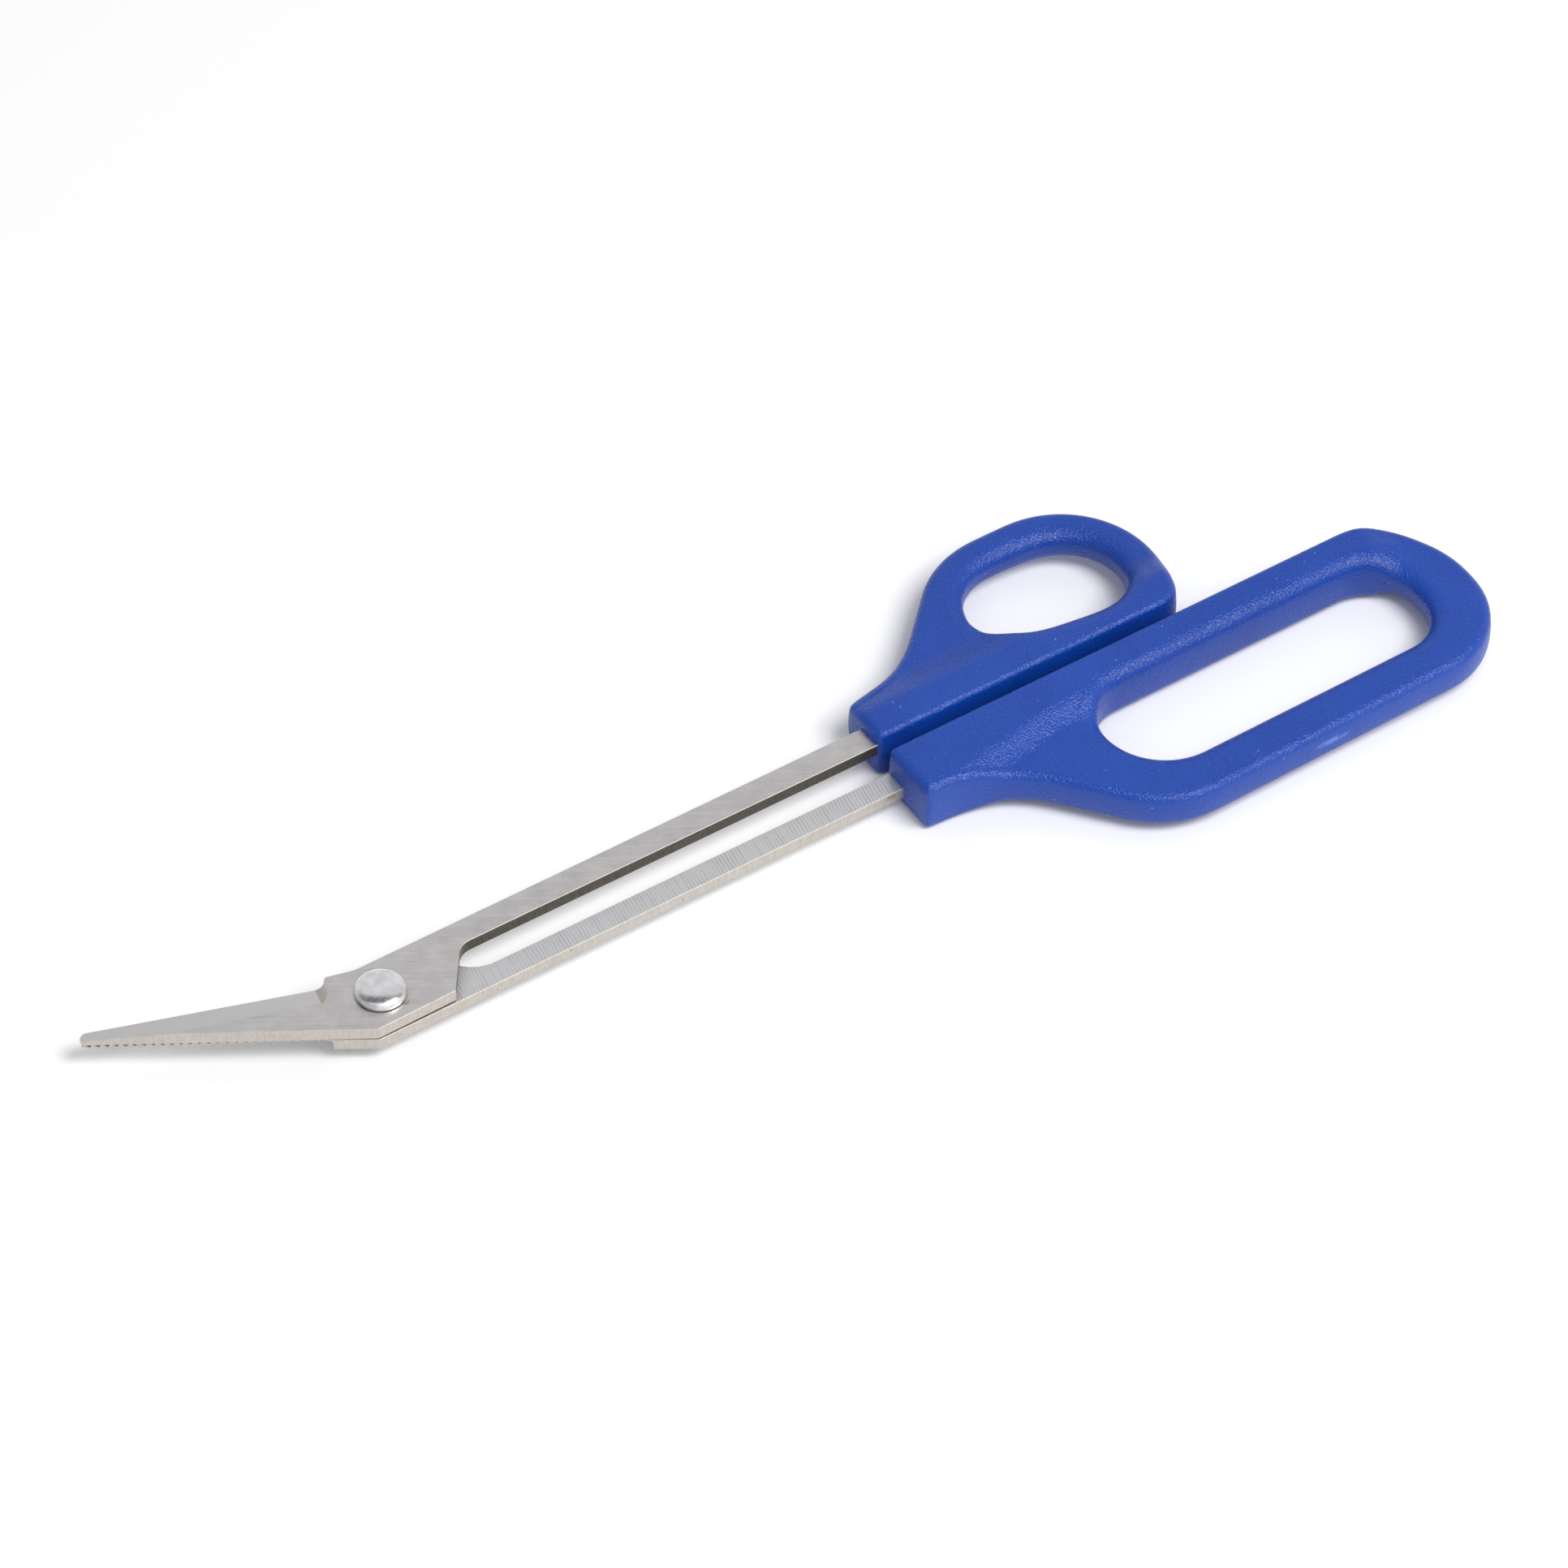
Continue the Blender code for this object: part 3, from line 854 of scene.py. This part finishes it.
@dataclass
class Blade:
    """A stamped blade with its pivot plate, shank and tang: one plate with two side lines.

    Its surface is a grid. One parameter runs from the tang to the tip. The other runs round the
    section: across the top, down the +Y wall, back underneath and up the -Y wall.
    """

    drawing: Drawing
    name: str
    node: str
    body: Body
    finishes: list[bpy.types.Material]      # flat face, bevel, wall, inner wall, run-out
    outline: list[Corner]
    tooth_line: tuple[Point, Point] | None
    bevel: Bevel
    cut: Cut
    low: float                      # height of the underside
    high: float                     # height of the top face
    teeth: int = 27
    tooth_depth: float = 0.45
    inner_side: int = -1            # the side that faces the gap between the shanks
    inner_from: float = 9.0         # where the inner wall starts, in x
    chamfer: float = 0.06
    shank_end: float = 20.0         # x where the sections begin to stand closer
    blade_start: float = -3.0       # x where they stand closest
    nose_start: float = -36.0       # x where they close up on the tip
    columns: int = 12               # on each side of the ridge line
    outline_points: int = 12000

    def station_x(self, tip: float) -> Array:
        """X of each section: far apart on the shank, closer at the plate and closest on the blade.

        Args:
            tip: x of the outline's own tip.

        Returns:
            Falling values that end at the tip, where their steps shrink as a cosine's do.
        """
        nose = np.cos(np.linspace(0, math.pi / 2, 40))
        return np.concatenate([
            np.arange(TANG_END, self.shank_end, -1.0),
            np.arange(self.shank_end, self.blade_start, -0.16),
            np.arange(self.blade_start, self.nose_start, -0.08),
            tip + (self.nose_start - tip) * nose])

    def side_lines(self, points: Array, x: Array) -> tuple[Array, Array]:
        """The blade's two side lines, teeth included.

        Args:
            points: the outline.
            x: where the lines are wanted.

        Returns:
            Plan points of the -Y and of the +Y side line.
        """
        tip, tang = int(np.argmin(points[:, 0])), int(np.argmax(points[:, 0]))
        loop = np.roll(points, -tang, 0)
        split = (tip - tang) % len(points)
        lines = []
        for chain in (loop[:split + 1], loop[split:]):
            order = np.argsort(chain[:, 0], kind="stable")
            lines.append(np.interp(x, chain[order, 0], chain[order, 1]))
        lower, upper = np.minimum(*lines), np.maximum(*lines)
        if self.tooth_line is not None:
            lower = np.minimum(lower + self.hollows(x), upper - 0.05)
        return np.stack([x, lower], 1), np.stack([x, upper], 1)

    def hollows(self, x: Array) -> Array:
        """Scallops: depth * |sin(pi * teeth * t)|, with t from the first tooth to the tip.

        Args:
            x: where they are wanted.

        Returns:
            How far the side line draws in at each x.
        """
        (first, _), (last, _) = self.tooth_line
        share = (x - first) / (last - first)
        wave = self.tooth_depth * np.abs(np.sin(math.pi * self.teeth * share))
        return np.where((share > 0) & (share < 1), wave, 0.0)

    def heights(self, place: Array) -> tuple[Array, Array]:
        """Heights of the two faces, with the bevel taken off its own one.

        Args:
            place: plan points, in an array of any shape that ends in x and y.

        Returns:
            Height of the top and of the underside at each point.
        """
        depth = self.bevel.depth(place)
        if self.cut is Cut.TOP:
            return self.high - depth, np.full(depth.shape, self.low)
        return np.full(depth.shape, self.high), self.low + depth

    def surface(self) -> Surface:
        """The whole blade as one closed grid, with a cap at its tang."""
        points = resampled(arc_outline(self.outline), self.outline_points)
        x = self.station_x(float(points[:, 0].min()))
        lower, upper = self.side_lines(points, x)
        # the chamfer fades where the blade is narrower than 3 mm
        ease = np.clip((upper - lower)[:, 1] / 3.0, 0.0, 1.0) * self.chamfer
        inner_low = lower + self.side_normals(lower) * ease[:, None]
        inner_high = upper - self.side_normals(upper) * ease[:, None]
        # a column of the grid follows the ridge line, or the nearer side where that lies outside
        seam = np.clip(self.bevel.ridge_share(inner_low, inner_high), 0.04, 0.96)
        steps = np.linspace(0.0, 1.0, self.columns)
        share = np.concatenate([seam[:, None] * steps[None, :-1],
                                seam[:, None] + (1 - seam)[:, None] * steps[None]], 1)
        flat = inner_low[:, None] + (inner_high - inner_low)[:, None] * share[..., None]
        top, bottom = self.heights(flat)
        wall_top = [self.heights(line) for line in (lower, upper)]
        # a chamfer never takes more than a third of what is left of the edge
        soft = [np.minimum(ease, (t - b) / 3) for t, b in wall_top]
        rows = [
            (flat, top),
            (upper[:, None], (wall_top[1][0] - soft[1])[:, None]),
            (upper[:, None], (wall_top[1][1] + soft[1])[:, None]),
            (flat[:, ::-1], bottom[:, ::-1]),
            (lower[:, None], (wall_top[0][1] + soft[0])[:, None]),
            (lower[:, None], (wall_top[0][0] - soft[0])[:, None]),
        ]
        plan = np.concatenate([row[0] for row in rows], 1)
        height = np.concatenate([row[1] for row in rows], 1)
        points = np.concatenate([plan, height[..., None]], -1)
        count, wide = plan.shape[:2]
        quads = ring_faces(count, wide, closed_rows=False)
        finish = self.finish_map(plan, flat.shape[1])
        caps = [list(range(wide)), list(range((count - 1) * wide, count * wide))[::-1]]
        return Surface(self.name, self.drawing.to_frame(points), quads, finish, caps)

    @staticmethod
    def side_normals(line: Array) -> Array:
        """Unit normals of a side line, all towards +Y.

        Args:
            line: plan points, one row each.

        Returns:
            One normal for each point.
        """
        tangent = np.gradient(line, axis=0)
        normal = np.stack([tangent[:, 1], -tangent[:, 0]], 1)
        normal /= np.linalg.norm(tangent, axis=1)[:, None]
        return normal * np.where(normal[:, 1] > 0, 1, -1)[:, None]

    def finish_map(self, plan: Array, flat_columns: int) -> Array:
        """Finish of each quad, as a place in the blade's list of finishes.

        Args:
            plan: plan points of the whole grid.
            flat_columns: number of columns on one face.

        Returns:
            0 for the flat face, 1 for the bevel, 2 for the wall, 3 for the wall that faces the
            other shank and 4 for the bevel's run-out, one for each quad.
        """
        count, wide = plan.shape[:2]
        middle = (plan[:-1] + plan[1:] + np.roll(plan, -1, 1)[:-1] + np.roll(plan, -1, 1)[1:]) / 4
        finish = np.full((count - 1, wide), 2)
        for start, own in ((0, self.cut is Cut.TOP),
                           (flat_columns + 2, self.cut is Cut.UNDERSIDE)):
            block = slice(start, start + flat_columns - 1)
            ground = (self.bevel.depth(middle[:, block]) > 1e-4) & own
            finish[:, block] = np.where(ground, np.where(self.bevel.in_runout(middle[:, block]),
                                                         4, 1), 0)
        inner = flat_columns if self.inner_side > 0 else 2 * flat_columns + 2
        inside = middle[:, inner, 0] > self.inner_from
        finish[inside, inner] = 3
        return finish.reshape(-1)

    def build(self) -> bpy.types.Object:
        """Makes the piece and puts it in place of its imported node."""
        item = self.surface().build(self.finishes, crease=24.0)
        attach(item, self.body.value)
        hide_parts(self.node)
        return item


# ---------------------------------------------------------------------------------------------
# Rivet
# ---------------------------------------------------------------------------------------------

@dataclass
class Rivet:
    """The rivet: a profile of (radius, height) turned round the pivot axis."""

    drawing: Drawing
    finishes: list[bpy.types.Material]      # polished head, and the foot of the head darkened as painted shade
    head_radius: float = 3.55
    head_base: float = 6.2          # height of the head's underside
    wall: float = 0.42              # height of the head's upright wall
    foot: float = 0.24              # height of the part of the wall darkened as painted shade
    dome: float = 1.15
    dome_power: float = 2.3
    shaft: float = 2.0              # radius
    tail_radius: float = 3.1
    tail_top: float = 2.0
    tail_wall: float = 0.3
    tail_low: float = 0.98
    tail_power: float = 2.5
    steps: int = 128

    def profile(self) -> Array:
        """(radius, height) from the middle of the dome down to the middle of the tail.

        The dome is a quarter of a superellipse, (r/R)^p + (z/H)^p = 1, so it is flat in the
        middle and turns quickly at its rim. The tail is a shallower one, upside down.
        """
        angle = np.linspace(0.0, math.pi / 2, 36)
        power = 2 / self.dome_power
        dome = np.stack([self.head_radius * np.sin(angle) ** power,
                         self.head_base + self.wall + self.dome * np.cos(angle) ** power], 1)
        # the wall of the head draws in by 0.12 mm at its foot
        lip = np.array([[self.head_radius, self.head_base + self.foot],
                        [self.head_radius - 0.07, self.head_base + self.foot - 0.04],
                        [self.head_radius - 0.12, self.head_base],
                        [self.shaft, self.head_base], [self.shaft, self.tail_top]])
        tail_angle = np.linspace(math.pi / 2, 0.0, 14)
        tail_power = 2 / self.tail_power
        tail_rim = self.tail_top - self.tail_wall
        tail = np.stack([self.tail_radius * np.sin(tail_angle) ** tail_power,
                         tail_rim - (tail_rim - self.tail_low)
                         * np.cos(tail_angle) ** tail_power], 1)
        rim = np.array([[self.tail_radius - 0.1, self.tail_top]])
        return np.concatenate([dome, lip, rim, tail])

    def surface(self) -> Surface:
        """The turned grid, closed at both poles."""
        profile = self.profile()
        radius = np.maximum(profile[:, 0], 1e-4)
        angle = np.arange(self.steps) / self.steps * 2 * math.pi
        points = np.stack([radius[:, None] * np.cos(angle), radius[:, None] * np.sin(angle),
                           np.repeat(profile[:, 1:], self.steps, 1)], -1)
        quads = ring_faces(len(profile), self.steps, closed_rows=False)
        last = (len(profile) - 1) * self.steps
        caps = [list(range(self.steps))[::-1], list(range(last, last + self.steps))]
        ring = np.repeat(profile[:-1, 1], self.steps)
        # the foot of the head's wall takes the second finish: painted shade where the head sits on
        # the blade
        foot = (ring < self.head_base + self.foot + 0.01) & (ring > self.tail_top)
        return Surface("domed_rivet", self.drawing.to_frame(points), quads, foot.astype(int),
                       caps)

    def build(self) -> bpy.types.Object:
        """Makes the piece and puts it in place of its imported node."""
        item = self.surface().build(self.finishes, crease=50.0)
        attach(item, Body.LOWER.value)
        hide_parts("pivot_rivet")
        return item


# ---------------------------------------------------------------------------------------------
# Stage
# ---------------------------------------------------------------------------------------------

@dataclass(frozen=True)
class SoftBox:
    """A rectangular studio light aimed at the object."""

    name: str
    azimuth: float                  # degrees, 0 in front on -Y, growing towards +X
    elevation: float
    distance: float                 # metres
    size: float                     # side in metres
    power: float                    # watts

    def build(self, target: Vector) -> None:
        """Hangs the light in its place.

        Args:
            target: the point that it faces.
        """
        light = bpy.data.lights.new(self.name, "AREA")
        light.shape, light.size, light.energy = "SQUARE", self.size, self.power
        item = bpy.data.objects.new(self.name, light)
        back = direction(self.azimuth, self.elevation)
        item.location = target + back * self.distance
        item.rotation_mode = "QUATERNION"
        item.rotation_quaternion = back.to_track_quat("Z", "Y")
        bpy.context.scene.collection.objects.link(item)


def direction(azimuth: float, elevation: float) -> Vector:
    """Unit vector towards an azimuth and elevation in degrees, as a SoftBox counts them."""
    a, e = math.radians(azimuth), math.radians(elevation)
    return Vector((math.sin(a) * math.cos(e), -math.cos(a) * math.cos(e), math.sin(e)))


@dataclass
class Studio:
    """Pale floor, a soft light, a graded surround and the camera."""

    drawing: Drawing
    azimuth: float = -32.7          # of the camera, in degrees
    elevation: float = 48.0
    distance: float = 1.2           # metres
    view_width: float = 0.214452    # width of the view at the target, in metres
    target: Point = (68.236, 7.06)  # drawing millimetres
    floor_colour: str = "#fafafa"
    floor_reach: float = 3.0        # metres from the middle to each side
    key: SoftBox = SoftBox("front_softbox", azimuth=26.0, elevation=59.0, distance=0.9, size=0.42,
                           power=5.4)

    def aim(self) -> Vector:
        """The point on the table that the camera and the light face."""
        return Vector((*self.target, 0.0)) * MM + self.drawing.origin

    def camera(self) -> None:
        """A long lens at the viewing angle, aimed at the middle of the picture."""
        data = bpy.data.cameras.new("camera")
        data.sensor_width = 36.0
        data.lens = data.sensor_width * self.distance / self.view_width
        data.clip_start, data.clip_end = 0.05, 20.0
        item = bpy.data.objects.new("camera", data)
        back = direction(self.azimuth, self.elevation)
        item.location = self.aim() + back * self.distance
        item.rotation_mode = "QUATERNION"
        item.rotation_quaternion = back.to_track_quat("Z", "Y")
        bpy.context.scene.collection.objects.link(item)
        bpy.context.scene.camera = item

    def floor(self) -> None:
        """A wide pale floor, just under the object so that they don't flicker."""
        reach, height = self.floor_reach, -0.05 * MM
        points = [(-reach, -reach, height), (reach, -reach, height), (reach, reach, height),
                  (-reach, reach, height)]
        mesh = bpy.data.meshes.new("floor")
        mesh.from_pydata(points, [], [(0, 1, 2, 3)])
        finish = Finish("matt_white_paper", self.floor_colour, 0.9)
        made, _, shader = finish.start()
        shader.inputs["Specular IOR Level"].default_value = 0.0
        mesh.materials.append(made)
        item = bpy.data.objects.new("floor", mesh)
        bpy.context.scene.collection.objects.link(item)

    def surround(self) -> None:
        """A white surround that gives the steel something to reflect.

        It is brighter in front, dimmer on the left, and has a dark band overhead. All of it is set
        by the direction's height, by its `front` part along the camera's azimuth and by its X.
        """
        world = bpy.data.worlds.new("studio_surround")
        world.use_nodes = True
        tree = world.node_tree
        background = tree.nodes["Background"]
        place = add_node(tree, "TexCoord").outputs["Generated"]
        parts = add_node(tree, "SeparateXYZ", {0: place}).outputs
        height, side = parts["Z"], parts["X"]
        front = add_node(tree, "VectorMath", {0: place, 1: tuple(direction(self.azimuth, 0.0))},
                         operation="DOT_PRODUCT").outputs["Value"]
        # the band lies high up, and within about 0.2 of the direction where front is -0.09
        off = add_node(tree, "Math", {0: front, 1: 0.09}, operation="ADD").outputs[0]
        off = add_node(tree, "Math", {0: off}, operation="ABSOLUTE").outputs[0]
        beyond = add_node(tree, "MapRange", {"Value": off, "From Min": 0.19, "From Max": 0.31,
                                             "To Min": 0.28, "To Max": 1.0}).outputs["Result"]
        below = add_node(tree, "MapRange", {"Value": height, "From Min": 0.55, "From Max": 0.72,
                                            "To Min": 1.0, "To Max": 0.28}).outputs["Result"]
        overhead = add_node(tree, "Math", {0: beyond, 1: below}, operation="MAXIMUM").outputs[0]
        level = add_node(tree, "MapRange", {"Value": front, "From Min": -0.25, "From Max": 0.3,
                                            "To Min": 0.76, "To Max": 1.0}).outputs["Result"]
        left = add_node(tree, "MapRange", {"Value": side, "From Min": -0.75, "From Max": -0.15,
                                           "To Min": 0.5, "To Max": 1.0}).outputs["Result"]
        strength = add_node(tree, "Math", {0: level, 1: overhead}, operation="MULTIPLY").outputs[0]
        strength = add_node(tree, "Math", {0: strength, 1: left}, operation="MULTIPLY").outputs[0]
        background.inputs["Color"].default_value = linear("#fdfdff")
        tree.links.new(strength, background.inputs["Strength"])
        bpy.context.scene.world = world

    def build(self) -> None:
        """Sets up the whole stage."""
        bpy.context.scene.view_settings.view_transform = "Standard"
        self.floor()
        self.surround()
        self.key.build(self.aim())
        self.camera()


# ---------------------------------------------------------------------------------------------
# The scissors
# ---------------------------------------------------------------------------------------------

@dataclass
class Scissors:
    """The whole pair, from sizes in the drawing frame."""

    drawing: Drawing
    thick: float = 8.2              # handles' thickness; the blades meet half-way up it
    blade_gap: float = 0.22
    plate: float = 1.98             # thickness of each blade
    edge_left: float = 0.12         # what the upper bevel leaves of that at the edge
    toothed_edge_left: float = 0.3
    front: float = 79.4             # x of the handles' front faces
    thumb_wall: float = 0.75        # y of the two walls of the gap between the handles
    finger_wall: float = -1.15

    def handles(self) -> list[Handle]:
        """The two handles, thumb ring first."""
        front, thumb, finger = self.front, self.thumb_wall, self.finger_wall
        thumb_finish = SparkErodedPlastic(name="spark_eroded_blue_polypropylene_thumb", scars=(
            (self.drawing.shader_point(125.0, thumb, 3.6), (3.2, 1.0, 1.2), 0.0, "#3f7fa6"),
            (self.drawing.shader_point(109.5, thumb, 3.2), (2.0, 1.0, 1.0), 0.0, "#2f6a9c")))
        finger_finish = SparkErodedPlastic(name="spark_eroded_blue_polypropylene_finger", scars=(
            (self.drawing.shader_point(133.5, -30.0, 4.4), (3.2, 1.0, 0.7), 0.0, "#4a7ccc"),))
        return [
            Handle(self.drawing, "thumb_ring_handle", "thumb_handle", Body.UPPER,
                   thumb_finish.build(),
                   rim=[(front, thumb, 1.0), (129.8, thumb, 3.8), (132.35, 10.3, 9.0),
                        (132.0, 26.95, 15.0), (105.2, 26.95, 16.0), (90.4, 11.95, 20.0),
                        (front, 9.2, 1.1)],
                   hole=[(103.8, 7.5, 8.5), (102.7, 22.4, 8.0), (127.5, 21.2, 9.0),
                         (126.7, 4.3, 6.5)],
                   spine=((110.5, 14.0), (118.5, 12.4)), wall=thumb, side=1, thin=5.0,
                   front=front, thick=self.thick, rib_front=4.5, rim_soften=0.9,
                   hole_soften=2.2),
            Handle(self.drawing, "finger_loop_handle", "finger_handle", Body.LOWER,
                   finger_finish.build(),
                   rim=[(front, finger, 1.0), (front + 0.25, -10.95, 0.6), (91.3, -11.6, 19.0),
                        (107.4, -30.65, 15.0), (166.8, -29.25, 12.8), (166.8, -11.4, 16.5),
                        (161.3, -0.85, 11.5)],
                   hole=[(107.4, -7.4, 6.0), (158.8, -7.0, 7.2), (158.2, -22.4, 6.5),
                         (107.1, -23.1, 9.5)],
                   spine=((113.0, -11.8), (151.5, -14.6)), wall=finger, side=-1, thin=5.4,
                   front=front, thick=self.thick, slope=4.6, rib_end=156.5, end_slope=7.0),
        ]

    def blades(self) -> list[Blade]:
        """The two blades, upper one first."""
        rust = "#b87a3c"
        edge = BlankedEdge(stains_and_shade=(
            (self.drawing.shader_point(77.6, -5.4, 3.3), (0.8, 0.5, 0.5), 0.0, rust),)).build()
        # the wall that faces the other shank: a darker olive grey, partly the steel's own oxide tint
        # and partly painted shade of the narrow gap between the shanks
        inner = BlankedEdge(name="inner_steel_edge_oxide_and_painted_shade", colour="#827e74", light="#8e8a80",
                            dark="#716d63", roughness=0.5).build()
        # a beige-bronze patch on the upper blade just past the rivet head's lower right edge:
        # painted shadow and reflection of the head
        rivet_shadow = ((self.drawing.shader_point(1.9, -3.5, 6.1), (0.9, 0.35, 0.6), 20.0, "#bda88c"),)
        upper_flat = GroundSteel(name="finely_brushed_stainless_steel", lines=-30.0,
                                 scratch_mm=0.09, length_times=30.0, contrast=0.24,
                                 colour="#dcd9d8", stains_and_shade=rivet_shadow).build()
        upper_bevel = GroundSteel(name="bevel_ground_stainless_steel", lines=75.0, contrast=0.07,
                                  scratch_mm=0.12, colour="#cecccb").build()
        # the wheel's run-out: its short coarse scratches are the grind, and its darker beige is
        # painted shade of the hollow
        runout = GroundSteel(name="wheel_run_out_steel_painted_shade", lines=20.0, contrast=0.3,
                             scratch_mm=0.3, length_times=4.0, colour="#b9b2a9").build()
        lower_flat = GroundSteel(name="coarsely_ground_stainless_steel", lines=83.0,
                                 scratch_mm=0.14, bands_mm=0.5, contrast=0.32,
                                 colour="#dededf").build()
        base_z = self.thick / 2 + self.blade_gap / 2
        upper = Blade(
            self.drawing, "upper_blade_steel", "upper_blade", Body.UPPER,
            [upper_flat, upper_bevel, edge, inner, runout],
            outline=[(TANG_END, 1.45, 0), (TANG_END, 5.25, 0), (-1.0, 5.25, 6.0),
                     (-4.8, 6.25, 0.12), (-5.3, 6.05, 0.4), (-36.3, 16.55, 0.8),
                     (-37.85, 15.1, 0.8), (-3.6, -5.35, 0.25), (8.5, -5.15, 0.2),
                     (13.2, 1.45, 3.0)],
            tooth_line=None,
            bevel=Bevel(((-7.5, 2.5), (-24.65, 7.85)), ((-5.3, 6.05), (-36.3, 16.55)),
                        deepest=self.plate - self.edge_left, runout=1.5, start=-1.1),
            cut=Cut.TOP, low=base_z, high=base_z + self.plate)
        top_z = self.thick / 2 - self.blade_gap / 2
        lower = Blade(
            self.drawing, "lower_blade_steel", "lower_blade", Body.LOWER,
            [lower_flat, upper_bevel, edge, inner, runout],
            outline=[(TANG_END, -5.4, 0), (TANG_END, -2.0, 0), (13.7, -2.0, 6.0), (8.1, 5.2, 0.3),
                     (-4.8, 5.2, 0.3), (-35.9, 15.8, 0.6), (-37.75, 14.85, 0.3),
                     (-9.2, -1.8, 0.2), (-3.4, -5.4, 0.3)],
            tooth_line=((-9.2, -1.8), (-37.6, 14.7)),
            bevel=Bevel(((-7.1, 1.7), (-24.0, 12.2)), ((-9.2, -1.8), (-37.75, 14.85)),
                        deepest=self.plate - self.toothed_edge_left, runout=0.4, start=-0.6),
            inner_side=1, cut=Cut.UNDERSIDE, low=top_z - self.plate, high=top_z)
        return [upper, lower]

    def rivet(self) -> Rivet:
        """The rivet."""
        # the foot of the head: a dark bronze grey that is painted shade under the head's rim, with
        # short scratches
        foot_shade = GroundSteel(name="rivet_foot_steel_painted_shade", colour="#8a8074", roughness=0.5,
                                scratch_mm=0.3, length_times=3.0, contrast=0.4)
        return Rivet(self.drawing, [PolishedRivetSteel().build(), foot_shade.build()])

    def build(self) -> None:
        """Builds each piece and reports it."""
        for part in (*self.blades(), self.rivet(), *self.handles()):
            item = part.build()
            LOG.info("%s: %d faces", item.name, len(item.data.polygons))


def main() -> None:
    """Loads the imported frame, dresses it and sets the stage."""
    logging.basicConfig(level=logging.INFO, format="%(message)s")
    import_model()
    drawing = Drawing.from_rivet()
    Studio(drawing).build()
    Scissors(drawing).build()


if __name__ == "__main__":
    main()
